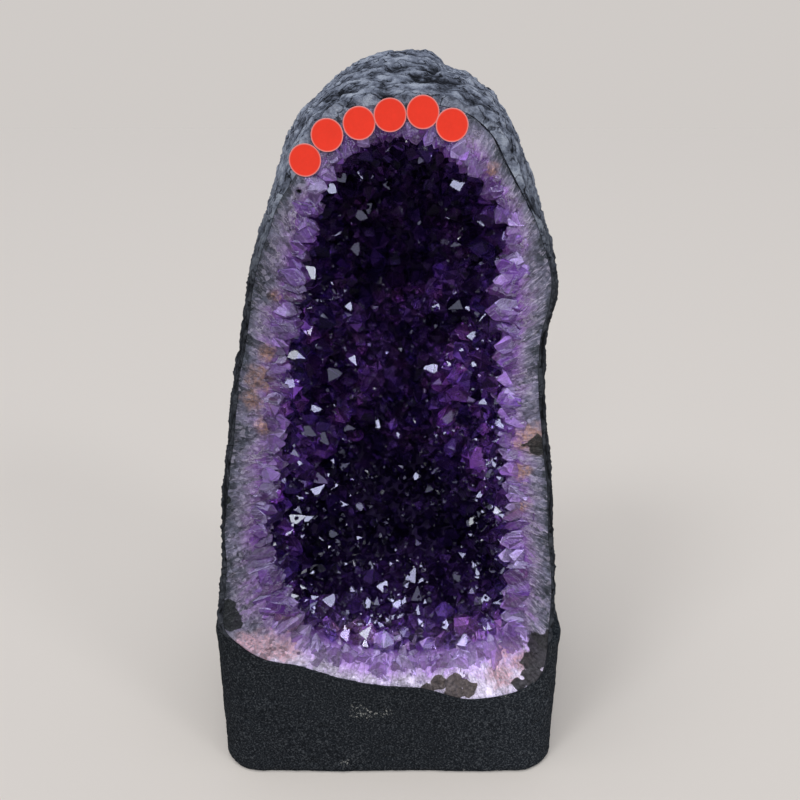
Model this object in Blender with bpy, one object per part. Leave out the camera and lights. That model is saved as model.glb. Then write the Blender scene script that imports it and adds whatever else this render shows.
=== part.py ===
"""Amethyst cathedral geode, sawn open at the front and set in a cast cement foot.

Metres, +Z up. The origin is on the floor under the middle of the foot, and the sawn face looks
along -Y. The rock rind, the crystal crust inside it, the foot and the six round labels on the
rim are separate pieces.
"""

import math
import random

import bmesh
import bpy
from mathutils import Vector, noise

# Geode, outside
CUT_Y = -0.077  # the sawn face
AXIS_Y = -0.037  # the geode is widest here, behind the saw cut
RIND_THICKNESS = 0.0048
PIECE_GAP = 0.0003
CRUST_SKIN = 0.001  # the points' roots stay this far inside the crust's outer surface
RIND_LOW = (0.040, 0.043)  # x and z of the lowest point
RIND_TOP = (0.009, 0.410)  # x and z of the crown
# Height, reach to the left and reach to the right of the widest outline
RIND_OUTLINE = (
    (0.060, 0.044, 0.091),
    (0.095, 0.093, 0.099),
    (0.150, 0.0955, 0.0970),
    (0.210, 0.0880, 0.0890),
    (0.265, 0.0785, 0.0865),
    (0.302, 0.0710, 0.0905),
    (0.346, 0.0565, 0.0765),
    (0.376, 0.0450, 0.0635),
    (0.395, 0.0275, 0.0450),
)
RIND_FRONT = (0.82, 0.93)  # forward reach over half-width, at the low end and at the crown
RIND_BACK = (1.13, 1.18)  # backward reach over half-width, at the low end and at the crown
FRONT_POWER = 3.0  # of the rings' oval: 2 is an ellipse, more is squarer
BACK_POWER = 2.2
RIND_FACES = (40, 26)  # faces around and up
SEAM_FACES = (24, 16)
HOLLOW_FACES = (18, 14)
PROBE_STEP = 0.01  # of the unit sphere, for the slope of a surface
LUMP_SIZE = 0.034
LUMP_HEIGHT = 0.0030
LUMPS_FROM = (0.085, 0.130)  # no lumps below the first height, full ones above the second
# The rind is thicker just over the foot's left end
KNOB_CENTRE = Vector((-0.092, CUT_Y + 0.004, 0.105))
KNOB_HEIGHT = 0.008
KNOB_SPREAD = 0.011

# Hollow in the crust, measured to the bases of the crystals
HOLLOW_Y = -0.062
HOLLOW_LOW = (0.012, 0.080)
HOLLOW_TOP = (0.006, 0.371)
HOLLOW_OUTLINE = (
    (0.096, 0.044, 0.066),
    (0.127, 0.059, 0.071),
    (0.168, 0.067, 0.068),
    (0.200, 0.057, 0.064),
    (0.240, 0.054, 0.060),
    (0.280, 0.047, 0.060),
    (0.320, 0.040, 0.062),
    (0.350, 0.031, 0.047),
)
HOLLOW_FRONT = (1.1, 1.1)
HOLLOW_BACK = (1.72, 1.72)
HOLLOW_LUMP_HEIGHT = 0.0022

# Crystal points, six-sided
POINT_TRIES = 9000
POINT_RADIUS = (0.0088, 0.0140)
POINT_SPACING = 0.91  # least distance between two points, over the sum of their radii
POINT_SHOULDER = 0.12  # where the point begins above the wall, over its radius
POINT_STEEPNESS = 1.0  # height of the point over its radius
POINT_ROOT = 0.009  # how deep its column is rooted in the crust
POINT_TILT = 0.36
SEED = 11

# Cement foot
FOOT_WIDTH = 0.202
FOOT_DEPTH = 0.154
FOOT_HEIGHT = 0.093
FOOT_CORNER = 0.024
FOOT_CORNER_FACES = 5
FOOT_EDGE = 0.0035
FOOT_EDGE_FACES = 2
FOOT_FLARE = 0.012  # how much wider the top is than the bottom, as a share
FOOT_SLOPE = 0.20  # how much higher the left end is, as a share of the height for each metre

# Round labels: x and z of each centre on the sawn rim
LABEL_RADIUS = 0.0076
LABEL_SIDES = 20
LABEL_THICKNESS = 0.0002
LABEL_GAP = 0.00015
LABEL_CENTRES = (
    (-0.0374, 0.3592),
    (-0.0267, 0.3705),
    (-0.0117, 0.3758),
    (0.0027, 0.3794),
    (0.0179, 0.3807),
    (0.0315, 0.3750),
)


def clear_scene():
    for obj in list(bpy.data.objects):
        bpy.data.objects.remove(obj)


def collection(name):
    made = bpy.data.collections.new(name)
    bpy.context.scene.collection.children.link(made)
    return made


def material(name, colour, roughness, metallic=0.0):
    made = bpy.data.materials.new(name)
    made.use_nodes = True
    shader = made.node_tree.nodes["Principled BSDF"]
    shader.inputs["Base Color"].default_value = (*colour, 1.0)
    shader.inputs["Roughness"].default_value = roughness
    shader.inputs["Metallic"].default_value = metallic
    return made


def add_object(name, bm, group, finish=None):
    mesh = bpy.data.meshes.new(name)
    bm.to_mesh(mesh)
    bm.free()
    obj = bpy.data.objects.new(name, mesh)
    group.objects.link(obj)
    if finish:
        mesh.materials.append(finish)
    return obj


def as_cutter(obj):
    obj.hide_render = True
    obj.display_type = "WIRE"
    return obj


def boolean(obj, name, operation, other, use_self=False):
    modifier = obj.modifiers.new(name, "BOOLEAN")
    modifier.operation = operation
    modifier.solver = "EXACT"
    modifier.use_self = use_self
    modifier.object = other


def smooth_through(knots, place):
    """The value at a place on a smooth curve through (place, value) knots."""
    last = len(knots) - 1
    i = max(k for k in range(last) if knots[k][0] <= place or k == 0)
    (x0, y0), (x1, y1) = knots[i], knots[i + 1]

    def slope(k):
        low, high = knots[max(k - 1, 0)], knots[min(k + 1, last)]
        return (high[1] - low[1]) / (high[0] - low[0])

    t = (place - x0) / (x1 - x0)
    run = x1 - x0
    return (
        (2 * t**3 - 3 * t**2 + 1) * y0
        + (t**3 - 2 * t**2 + t) * run * slope(i)
        + (3 * t**2 - 2 * t**3) * y1
        + (t**3 - t**2) * run * slope(i + 1)
    )


def smooth_step(low, high, value):
    t = min(max((value - low) / (high - low), 0.0), 1.0)
    return t * t * (3 - 2 * t)


class Egg:
    """A round, lumpy form: oval rings whose reach to each side follows an outline."""

    def __init__(self, low, top, outline, axis_y, front, back, lump_height=0.0, knob=0.0):
        self.low, self.top, self.axis_y = low, top, axis_y
        self.front, self.back = front, back
        self.lump_height, self.knob = lump_height, knob
        self.left = self.knots(-low[0], -top[0], [(z, left) for z, left, _ in outline])
        self.right = self.knots(low[0], top[0], [(z, right) for z, _, right in outline])

    def knots(self, at_low, at_top, reaches):
        inner = [(self.angle(z), reach) for z, reach in reaches]
        return [(0.0, at_low), *inner, (math.pi, at_top)]

    def angle(self, z):
        """The angle up from the low pole at which a ring lies at this height."""
        share = (z - self.low[1]) / (self.top[1] - self.low[1])
        return math.acos(1 - 2 * share)

    def point(self, direction):
        """The surface point for a unit direction, before any inset."""
        angle = math.acos(max(-1.0, min(1.0, -direction.z)))
        share = (1 - math.cos(angle)) / 2
        left, right = smooth_through(self.left, angle), smooth_through(self.right, angle)
        half = (left + right) / 2
        around = math.atan2(direction.y, direction.x)
        ends = self.back if around > 0 else self.front
        power = 2 / (BACK_POWER if around > 0 else FRONT_POWER)
        depth = half * (ends[0] + (ends[1] - ends[0]) * share)
        across, along = math.cos(around), math.sin(around)
        base = Vector(
            (
                (right - left) / 2 + half * math.copysign(abs(across) ** power, across),
                self.axis_y + depth * math.copysign(abs(along) ** power, along),
                self.low[1] + (self.top[1] - self.low[1]) * share,
            )
        )
        middle = Vector(((right - left) / 2, self.axis_y, base.z))
        outward = (base - middle + Vector((0, 0, direction.z * half))).normalized()
        lumps = noise.noise(base / LUMP_SIZE) + 0.45 * noise.noise(base / (LUMP_SIZE * 0.45))
        rise = lumps * self.lump_height * smooth_step(*LUMPS_FROM, base.z)
        rise += self.knob * math.exp(-(((base - KNOB_CENTRE).length / KNOB_SPREAD) ** 2) / 2)
        return base + outward * rise

    def inward(self, direction):
        """The unit normal into the form at a direction, from two short steps along the surface."""
        seat = self.point(direction)
        side = direction.orthogonal().normalized() * PROBE_STEP
        upward = direction.cross(side)
        along = self.point((direction + side).normalized()) - seat
        across = self.point((direction + upward).normalized()) - seat
        return -along.cross(across).normalized()

    def mesh(self, around, up, inset=0.0):
        bm = bmesh.new()
        bmesh.ops.create_uvsphere(bm, u_segments=around, v_segments=up, radius=1.0)
        for vert in bm.verts:
            vert.co = self.point(vert.co.normalized())
        bmesh.ops.triangulate(bm, faces=bm.faces)
        bm.normal_update()
        for vert, normal in [(vert, vert.normal.copy()) for vert in bm.verts]:
            vert.co -= normal * inset
        return bm


def sawn_away():
    """Everything in front of the sawn face."""
    bm = bmesh.new()
    bmesh.ops.create_cube(bm, size=1.0)
    bmesh.ops.translate(bm, verts=bm.verts, vec=(0, CUT_Y - 0.5, 0.25))
    return bm


def crystal_points(hollow):
    """Six-sided points rooted all over the hollow's wall, each leaning its own way."""
    rng = random.Random(SEED)
    bm = bmesh.new()
    placed = []
    for _ in range(POINT_TRIES):
        direction = Vector((rng.gauss(0, 1), rng.gauss(0, 1), rng.gauss(0, 1.5))).normalized()
        seat = hollow.point(direction)
        radius = rng.uniform(*POINT_RADIUS)
        if seat.y < CUT_Y + 0.001:
            continue
        if any((seat - other).length < POINT_SPACING * (radius + size) for other, size in placed):
            continue
        placed.append((seat, radius))
        lean = Vector((rng.uniform(-1, 1), rng.uniform(-1, 1), rng.uniform(-1, 1))) * POINT_TILT
        axis = (hollow.inward(direction) + lean).normalized()
        shoulder = radius * POINT_SHOULDER
        column = bmesh.ops.create_cone(
            bm,
            cap_ends=True,
            segments=6,
            radius1=radius,
            radius2=radius,
            depth=POINT_ROOT + shoulder,
        )["verts"]
        bmesh.ops.translate(bm, verts=column, vec=(0, 0, (shoulder - POINT_ROOT) / 2))
        top = [face for face in column[-1].link_faces if len(face.verts) == 6 and face.normal.z > 0]
        tip = bmesh.ops.poke(bm, faces=top, offset=radius * POINT_STEEPNESS)["verts"]
        made = column + tip
        turn = axis.to_track_quat("Z", "Y").to_matrix()
        bmesh.ops.rotate(bm, verts=made, cent=(0, 0, 0), matrix=turn)
        bmesh.ops.translate(bm, verts=made, vec=seat)
    return bm


def round_off(bm, edges, radius, faces):
    bmesh.ops.bevel(bm, geom=edges, offset=radius, segments=faces, profile=0.5, affect="EDGES")


def foot_block():
    """A cast block with round corners, its top a little wider and higher at the left."""
    bm = bmesh.new()
    bmesh.ops.create_cube(bm, size=1.0)
    bmesh.ops.scale(bm, verts=bm.verts, vec=(FOOT_WIDTH, FOOT_DEPTH, FOOT_HEIGHT))
    bmesh.ops.translate(bm, verts=bm.verts, vec=(0, 0, FOOT_HEIGHT / 2))
    upright = [e for e in bm.edges if abs(e.verts[0].co.z - e.verts[1].co.z) > FOOT_HEIGHT / 2]
    round_off(bm, upright, FOOT_CORNER, FOOT_CORNER_FACES)
    rims = [e for e in bm.edges if abs(e.verts[0].co.z - e.verts[1].co.z) < FOOT_EDGE]
    round_off(bm, rims, FOOT_EDGE, FOOT_EDGE_FACES)
    for vert in bm.verts:
        share = vert.co.z / FOOT_HEIGHT
        vert.co.x *= 1 + FOOT_FLARE * share
        vert.co.z *= 1 - FOOT_SLOPE * vert.co.x
    return bm


def label_disc():
    bm = bmesh.new()
    bmesh.ops.create_cone(
        bm,
        cap_ends=True,
        segments=LABEL_SIDES,
        radius1=LABEL_RADIUS,
        radius2=LABEL_RADIUS,
        depth=LABEL_THICKNESS,
    )
    return bm


def build():
    clear_scene()
    parts = collection("amethyst_cathedral_geode")
    cutters = collection("cutters")

    basalt = material("basalt_rind", (0.055, 0.062, 0.068), 0.82)
    amethyst = material("amethyst", (0.16, 0.05, 0.33), 0.18)
    cement = material("dark_cement", (0.035, 0.037, 0.040), 0.88)
    red_paper = material("red_label_paper", (0.85, 0.045, 0.028), 0.45)

    rind_form = (RIND_LOW, RIND_TOP, RIND_OUTLINE, AXIS_Y, RIND_FRONT, RIND_BACK)
    rind = Egg(*rind_form, LUMP_HEIGHT, KNOB_HEIGHT)
    seam = Egg(*rind_form)
    hollow = Egg(
        HOLLOW_LOW,
        HOLLOW_TOP,
        HOLLOW_OUTLINE,
        HOLLOW_Y,
        HOLLOW_FRONT,
        HOLLOW_BACK,
        HOLLOW_LUMP_HEIGHT,
    )

    front = as_cutter(add_object("sawn_away", sawn_away(), cutters))
    inside = as_cutter(add_object("rind_inside", seam.mesh(*SEAM_FACES, RIND_THICKNESS), cutters))
    cavity = as_cutter(add_object("cavity", hollow.mesh(*HOLLOW_FACES), cutters))
    points = as_cutter(add_object("points", crystal_points(hollow), cutters))
    root_limit = seam.mesh(*SEAM_FACES, RIND_THICKNESS + PIECE_GAP + CRUST_SKIN)
    skin = as_cutter(add_object("root_limit", root_limit, cutters))
    boolean(points, "trim_roots", "INTERSECT", skin, use_self=True)
    pocket = as_cutter(add_object("foot_pocket", rind.mesh(*RIND_FACES, -PIECE_GAP), cutters))

    shell = add_object("rock_shell", rind.mesh(*RIND_FACES), parts, basalt)
    boolean(shell, "hollow_out", "DIFFERENCE", inside)
    boolean(shell, "saw_front", "DIFFERENCE", front)

    lining = seam.mesh(*SEAM_FACES, RIND_THICKNESS + PIECE_GAP)
    crust = add_object("crystal_crust", lining, parts, amethyst)
    boolean(crust, "hollow_out", "DIFFERENCE", cavity)
    boolean(crust, "grow_points", "UNION", points, use_self=True)
    boolean(crust, "saw_front", "DIFFERENCE", front)

    foot = add_object("cement_foot", foot_block(), parts, cement)
    boolean(foot, "seat_geode", "DIFFERENCE", pocket)

    for i, (x, z) in enumerate(LABEL_CENTRES):
        label = add_object(f"sticker_{i + 1}", label_disc(), parts, red_paper)
        lift = LABEL_GAP + (LABEL_THICKNESS + LABEL_GAP) * (i % 2) + LABEL_THICKNESS / 2
        label.location = (x, CUT_Y - lift, z)
        label.rotation_euler = (math.radians(90), 0, 0)


build()
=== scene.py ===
"""Looks of the amethyst cathedral geode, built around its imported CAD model.

Metres, +Z up. The sawn face looks along -Y and the foot stands on the floor at z = 0.
"""

import itertools
import math

import bmesh
import bpy
import numpy as np
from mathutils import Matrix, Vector, noise


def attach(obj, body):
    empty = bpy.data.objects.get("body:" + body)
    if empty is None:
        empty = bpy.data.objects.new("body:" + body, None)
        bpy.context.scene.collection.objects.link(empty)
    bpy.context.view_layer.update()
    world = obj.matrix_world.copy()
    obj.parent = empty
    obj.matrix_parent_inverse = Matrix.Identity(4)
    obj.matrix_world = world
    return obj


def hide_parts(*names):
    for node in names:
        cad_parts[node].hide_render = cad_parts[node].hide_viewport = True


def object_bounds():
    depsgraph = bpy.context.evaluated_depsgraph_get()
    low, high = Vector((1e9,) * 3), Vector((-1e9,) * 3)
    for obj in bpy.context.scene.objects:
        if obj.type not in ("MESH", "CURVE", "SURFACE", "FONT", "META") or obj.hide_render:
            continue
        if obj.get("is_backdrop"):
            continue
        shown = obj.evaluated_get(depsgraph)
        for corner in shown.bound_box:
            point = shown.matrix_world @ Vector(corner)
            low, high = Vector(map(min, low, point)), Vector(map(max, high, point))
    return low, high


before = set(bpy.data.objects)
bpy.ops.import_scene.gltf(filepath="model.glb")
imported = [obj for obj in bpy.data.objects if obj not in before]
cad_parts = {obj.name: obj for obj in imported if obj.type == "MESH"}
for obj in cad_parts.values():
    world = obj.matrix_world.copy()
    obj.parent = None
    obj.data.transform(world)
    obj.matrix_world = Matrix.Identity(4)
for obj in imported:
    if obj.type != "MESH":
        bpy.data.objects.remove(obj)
cad_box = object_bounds()


# Camera: a phone held a little over 40 cm in front of the sawn face, tipped down at it.
CUT_Y = -0.077  # the sawn face
VIEW_ACROSS = 0.0073
VIEW_AHEAD = 0.428  # from the camera to the sawn face
VIEW_HEIGHT = 0.391
VIEW_TIP = math.radians(19.5)
SENSOR_WIDTH = 36.0  # millimetres
LENS = 39.6  # millimetres

camera = bpy.data.objects.new("camera", bpy.data.cameras.new("camera"))
bpy.context.scene.collection.objects.link(camera)
camera.data.sensor_width = SENSOR_WIDTH
camera.data.lens = LENS
camera.data.clip_start = 0.01
camera.location = (VIEW_ACROSS, CUT_Y - VIEW_AHEAD, VIEW_HEIGHT)
camera.rotation_euler = (math.radians(90) - VIEW_TIP, 0, 0)
bpy.context.scene.camera = camera


# Floor: one wide pale sheet that the geode stands on, with soft light from all round. The small
# far windows are what the crystals' faces mirror.
FLOOR_REACH = 9.0
FLOOR_COLOUR = (0.743, 0.685, 0.626)
ROOM_COLOUR = (0.80, 0.86, 1.0)
ROOM_STRENGTH = 0.32
MIRRORED_STRENGTH = 0.07  # of the room in shiny faces, between the windows
FAR_COLOUR = (0.627, 0.595, 0.572)  # the floor as the camera sees it far off
# Name, azimuth, elevation, breadth in degrees and power
CEILING = (("ceiling", -10, 68, 60, 1.45),)
WINDOWS = (
    ("left_window", -38, 42, 16, 0.55),
    ("right_window", 46, 30, 14, 0.35),
    ("front_window", 8, 55, 12, 0.35),
    ("low_window", -14, 22, 10, 0.22),
)
GLINTS = (  # seen by the crystals alone
    ("left_glint", -64, 26, 22, 1.45),
    ("left_high_glint", -30, 66, 26, 1.60),
    ("left_low_glint", -34, 14, 17, 0.80),
    ("right_glint", 24, 38, 19, 1.15),
    ("side_glint", 70, 46, 24, 1.45),
    ("right_high_glint", 34, 70, 24, 1.40),
    ("right_low_glint", 40, 12, 17, 0.80),
    ("front_glint", -6, 36, 16, 0.84),
    ("dim_left", -84, 44, 30, 1.00),
    ("dim_middle", 2, 58, 26, 0.80),
    ("dim_slanting", -50, 46, 26, 0.85),
    ("dim_right", 54, 26, 26, 0.85),
    ("dim_far_right", 96, 30, 30, 1.00),
    ("dim_low", 4, 8, 30, 0.46),
)
WARM_LIGHT = (1.0, 0.98, 0.95)
COOL_LIGHT = (0.90, 0.95, 1.0)
GLINT_LIGHT = (0.68, 0.71, 1.0)


def new_material(name, **settings):
    """A material, its node tree and its Principled shader with these socket values."""
    made = bpy.data.materials.new(name)
    made.use_nodes = True
    shader = made.node_tree.nodes["Principled BSDF"]
    for socket, value in settings.items():
        shader.inputs[socket.replace("_", " ")].default_value = value
    return made, made.node_tree, shader


def add_node(tree, kind, inputs=None, **settings):
    """A node with its settings, and its inputs set to values or linked to other nodes' outputs."""
    node = tree.nodes.new(kind)
    for name, value in settings.items():
        setattr(node, name, value)
    for name, value in (inputs or {}).items():
        if isinstance(value, bpy.types.NodeSocket):
            tree.links.new(value, node.inputs[name])
        elif isinstance(value, tuple) and len(value) == 3 and node.inputs[name].type == "RGBA":
            node.inputs[name].default_value = (*value, 1)
        else:
            node.inputs[name].default_value = value
    return node


def mesh_object(name, corners, faces, finishes, smooth=False):
    mesh = bpy.data.meshes.new(name)
    mesh.from_pydata([tuple(corner) for corner in corners], [], faces)
    mesh.validate()
    for finish in finishes:
        mesh.materials.append(finish)
    mesh.polygons.foreach_set("use_smooth", [smooth] * len(mesh.polygons))
    made = bpy.data.objects.new(name, mesh)
    bpy.context.scene.collection.objects.link(made)
    return made


floor_finish, _, floor_shader = new_material("pale_floor", Roughness=0.7)
floor_shader.inputs["Base Color"].default_value = (*FLOOR_COLOUR, 1)
sheet_corners = [
    (x * FLOOR_REACH, y * FLOOR_REACH, 0) for x, y in ((-1, -1), (1, -1), (1, 1), (-1, 1))
]
floor = mesh_object("floor", sheet_corners, [(0, 1, 2, 3)], [floor_finish])
floor.visible_glossy = False
floor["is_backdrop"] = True

room = bpy.data.worlds.new("room")
room.use_nodes = True
bpy.context.scene.world = room
room_tree = room.node_tree
near_room = room_tree.nodes["Background"]
near_room.inputs["Color"].default_value = (*ROOM_COLOUR, 1)
near_room.inputs["Strength"].default_value = ROOM_STRENGTH
mirrored = add_node(
    room_tree, "ShaderNodeBackground", {"Color": ROOM_COLOUR, "Strength": MIRRORED_STRENGTH}
)
far_wall = add_node(room_tree, "ShaderNodeBackground", {"Color": FAR_COLOUR})
rays = add_node(room_tree, "ShaderNodeLightPath").outputs
shown = near_room.outputs["Background"]
for ray, other in (("Is Glossy Ray", mirrored), ("Is Camera Ray", far_wall)):
    sockets = {0: rays[ray], 1: shown, 2: other.outputs["Background"]}
    shown = add_node(room_tree, "ShaderNodeMixShader", sockets).outputs["Shader"]
room_tree.links.new(shown, room_tree.nodes["World Output"].inputs["Surface"])
bpy.context.scene.view_settings.view_transform = "Standard"

shiny_pieces = bpy.data.collections.new("shiny_pieces")
for rows, colour in ((CEILING, WARM_LIGHT), (WINDOWS, COOL_LIGHT), (GLINTS, GLINT_LIGHT)):
    for name, azimuth, elevation, breadth, power in rows:
        light = bpy.data.lights.new(name, "SUN")
        light.angle = math.radians(breadth)
        light.energy = power
        light.color = colour
        lamp = bpy.data.objects.new(name, light)
        bpy.context.scene.collection.objects.link(lamp)
        lamp.rotation_euler = (math.radians(90 - elevation), 0, math.radians(azimuth))
        lamp.visible_glossy = rows != CEILING
        if rows == GLINTS:
            lamp.visible_diffuse = False
            lamp.light_linking.receiver_collection = shiny_pieces


# Basalt rind: the weathered lava that the geode grew in, a few millimetres of it left on the
# crust. It is layered and cracked along the dome, and chipped along the saw cut.
AXIS_Y = -0.037  # the geode is widest here, behind the saw cut
RIND_LOW = (0.040, 0.043)  # x and z of the lowest point
RIND_TOP = (0.009, 0.410)  # x and z of the crown
# Height, reach to the left and reach to the right of the widest outline
RIND_OUTLINE = (
    (0.060, 0.044, 0.091),
    (0.095, 0.0925, 0.0975),
    (0.150, 0.0945, 0.0960),
    (0.210, 0.0880, 0.0890),
    (0.265, 0.0785, 0.0845),
    (0.302, 0.0710, 0.0895),
    (0.346, 0.0570, 0.0752),
    (0.376, 0.0450, 0.0635),
    (0.395, 0.0275, 0.0450),
)
RIND_FRONT = (0.82, 0.93)  # forward reach over half-width, at the low end and at the crown
RIND_BACK = (1.13, 1.18)  # backward reach over half-width, at the low end and at the crown
FRONT_POWER = 3.0  # of the rings' oval: 2 is an ellipse, more is squarer
BACK_POWER = 2.2
MIDDLE = np.array((0.006, CUT_Y, 0.215))  # of the sawn face, which the rings go round
RIND_AROUND = 850
CLOSE_SPAN = math.radians(25)  # the rings stand closer in this span behind the sawn face
RIND_ROWS = (70, 34)  # in that span and behind it
LINING_ROWS = 8
FOOT_HIDES = 0.056  # the foot hides the rock below this height
FOOT_STEPS = 0.15  # how close the rings' points stand there, over the usual
LUMP_SIZE = 0.034
SMALL_LUMPS = 0.45  # size and height of the smaller lumps, over those of the large ones
LUMP_HEIGHT = 0.0014  # at the front, and twice as much behind
LUMPS_BEHIND = (-0.020, 0.030)  # y over which they grow higher
LUMPS_FROM = (0.085, 0.130)  # no lumps below the first height, full ones above the second
NOTCH_ROW = (-0.057, -0.047, -0.037, -0.027, -0.017)  # y of the dents that make one notch
# Centre, height and spread of single knobs and dents
KNOBS = (
    ((-0.094, CUT_Y + 0.006, 0.100), 0.0050, 0.007),  # over the foot's left corner
    ((0.009, -0.037, 0.414), -0.0005, 0.024),  # worn crown
    *(((0.0315, y, 0.404), -0.0019, 0.0042) for y in NOTCH_ROW),  # notch beside the crown
    ((0.080, -0.050, 0.350), 0.0026, 0.006),
    ((0.054, -0.045, 0.390), 0.0032, 0.006),
    ((0.022, -0.037, 0.408), 0.0024, 0.006),
)
RELIEF_FROM = (0.074, 0.096)
RELIEF_SINK = 0.0013  # how far the relief's middle lies under the even form
LAYERS = ((0.0064, 0.0012), (0.0029, 0.0011))  # from one broken lava layer to the next, and height
LAYER_DIP = 0.30
SWIRL_SIZE = 0.026  # of the swirls that bend the layers
SWIRL_BEND = 0.006
PATCH_SIZE = 0.018  # of the rough and the smoother patches
ALONG_LAYERS = (0.24, 1.0, 0.24)
WRINKLES = ((0.0048, 0.0008), (0.0024, 0.0009))  # breadth and height
CRACK_SIZE = 0.0085
CRACK_DEPTH = 0.0011
CREVICE_SIZE = 0.0055
CREVICE_DEPTH = 0.0009
GRIT_SIZES = ((0.0030, 0.00040), (0.0017, 0.00035))
CHIP_REACH = 0.0050  # how far behind the saw cut the edge is chipped
RIM_SIDE = 0.0018  # thickness of the rock at the saw cut, at the sides
RIM_TOP = 0.0048  # round the crown
RIM_FOOT = 0.0009  # and where the foot covers it
ABOVE_FOOT = (0.086, 0.102)  # z over which it thickens from RIM_FOOT to RIM_SIDE
UP_TO_CROWN = (0.335, 0.365)  # z over which it thickens to RIM_TOP
BEHIND_CUT = (CUT_Y + 0.010, CUT_Y + 0.030)  # y over which it does so behind the cut
DEEPEST_DENT = 0.66  # of the relief, over the rock's thickness
# Depth in the relief to colour, with painted shade in the dents and painted highlight on the ridges
BASALT_SHADED_TONES = (
    (0.16, (0.009, 0.011, 0.017)),
    (0.36, (0.038, 0.044, 0.062)),
    (0.54, (0.112, 0.127, 0.172)),
    (0.74, (0.220, 0.246, 0.318)),
    (0.95, (0.360, 0.395, 0.475)),
)


def smooth_through(knots, place):
    """The values at an array of places on a smooth curve through (place, value) knots."""
    at, value = np.array(knots).T
    slope = np.gradient(value, at)
    slope[1:-1] = (value[2:] - value[:-2]) / (at[2:] - at[:-2])
    i = np.clip(np.searchsorted(at, place) - 1, 0, len(at) - 2)
    run = at[i + 1] - at[i]
    t = (place - at[i]) / run
    return (
        (2 * t**3 - 3 * t**2 + 1) * value[i]
        + (t**3 - 2 * t**2 + t) * run * slope[i]
        + (3 * t**2 - 2 * t**3) * value[i + 1]
        + (t**3 - t**2) * run * slope[i + 1]
    )


def smooth_step(low, high, value):
    t = np.clip((value - low) / (high - low), 0.0, 1.0)
    return t * t * (3 - 2 * t)


def unit(vectors):
    return vectors / np.maximum(np.linalg.norm(vectors, axis=-1, keepdims=True), 1e-12)


def noise_at(points, size):
    """Smooth noise between about -1 and 1 at each point, with bumps of this size."""
    return np.array([noise.noise(Vector(point)) for point in (points / size).tolist()])


class Egg:
    """A round form: oval rings whose reach to each side follows an outline."""

    def __init__(self, low, top, outline, axis_y, front, back):
        self.low, self.top, self.axis_y = low, top, axis_y
        self.front, self.back = front, back
        heights = [self.angle(z) for z, _, _ in outline]
        left = zip(heights, (row[1] for row in outline))
        right = zip(heights, (row[2] for row in outline))
        self.left = [(0.0, -low[0]), *left, (math.pi, -top[0])]
        self.right = [(0.0, low[0]), *right, (math.pi, top[0])]

    def angle(self, z):
        """The angle up from the low pole at which a ring lies at this height."""
        share = (z - self.low[1]) / (self.top[1] - self.low[1])
        return np.arccos(np.clip(1 - 2 * share, -1, 1))

    def ring(self, angle, behind):
        """Middle, half-width, depth and power of the half ring at an angle."""
        left, right = smooth_through(self.left, angle), smooth_through(self.right, angle)
        half = (left + right) / 2
        share = (1 - np.cos(angle)) / 2
        low = np.where(behind, self.back[0], self.front[0])
        top = np.where(behind, self.back[1], self.front[1])
        power = np.where(behind, BACK_POWER, FRONT_POWER)
        return (right - left) / 2, half, half * (low + (top - low) * share), power

    def point(self, angle, around):
        """The surface points at angles up from the low pole and around the middle."""
        middle, half, depth, power = self.ring(angle, around > 0)
        across, along = np.cos(around), np.sin(around)
        x = middle + half * np.copysign(np.abs(across) ** (2 / power), across)
        y = self.axis_y + depth * np.copysign(np.abs(along) ** (2 / power), along)
        z = self.low[1] + (self.top[1] - self.low[1]) * (1 - np.cos(angle)) / 2
        return np.stack([x, y, z * np.ones_like(x)], axis=-1)

    def level(self, points):
        """Under 1 inside the form, 1 on it and more outside."""
        x, y, z = np.moveaxis(points, -1, 0)
        middle, half, depth, power = self.ring(self.angle(z), y > self.axis_y)
        half, depth = np.maximum(half, 1e-6), np.maximum(depth, 1e-6)
        round_it = np.abs((x - middle) / half) ** power
        inside = round_it + np.abs((y - self.axis_y) / depth) ** power
        return np.where((z < self.low[1]) | (z > self.top[1]), 9.0, inside)

    def reach(self, origin, directions):
        """How far the form reaches from a point inside it in each direction."""
        near, far = np.zeros(len(directions)), np.full(len(directions), 0.5)
        for _ in range(32):
            middle = (near + far) / 2
            outside = self.level(origin + directions * middle[:, None]) > 1
            near, far = np.where(outside, near, middle), np.where(outside, middle, far)
        return near

    def outward(self, points):
        """The unit normal of the form at each point on it."""
        step = 1e-5
        rise = [self.level(points + offset) for offset in np.eye(3) * step]
        fall = [self.level(points - offset) for offset in np.eye(3) * step]
        return unit(np.stack(rise, axis=-1) - np.stack(fall, axis=-1))


def capped_rings(rings):
    """Corners and faces of a closed skin: a first point, rings of points, and a last point."""
    around, rows = len(rings[1]), len(rings) - 2
    ahead = list(enumerate([*range(1, around), 0]))  # each place on a ring and the next one
    faces = [
        (row + i, row + j, row + around + j, row + around + i)
        for row in range(1, 1 + (rows - 1) * around, around)
        for i, j in ahead
    ]
    last = 1 + rows * around
    faces += [(0, 1 + j, 1 + i) for i, j in ahead]
    faces += [(last, last - around + i, last - around + j) for i, j in ahead]
    return np.concatenate(rings), faces


def store(piece, name, values):
    """Keeps a number or a vector for each corner of the mesh, for its material to read."""
    values = np.asarray(values, np.float32)
    kind, key = ("FLOAT", "value") if values.ndim == 1 else ("FLOAT_VECTOR", "vector")
    attribute = piece.data.attributes.new(name, kind, "POINT")
    attribute.data.foreach_set(key, values.ravel())


def waves(points):
    return noise_at(points, LUMP_SIZE) + SMALL_LUMPS * noise_at(points, LUMP_SIZE * SMALL_LUMPS)


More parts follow.
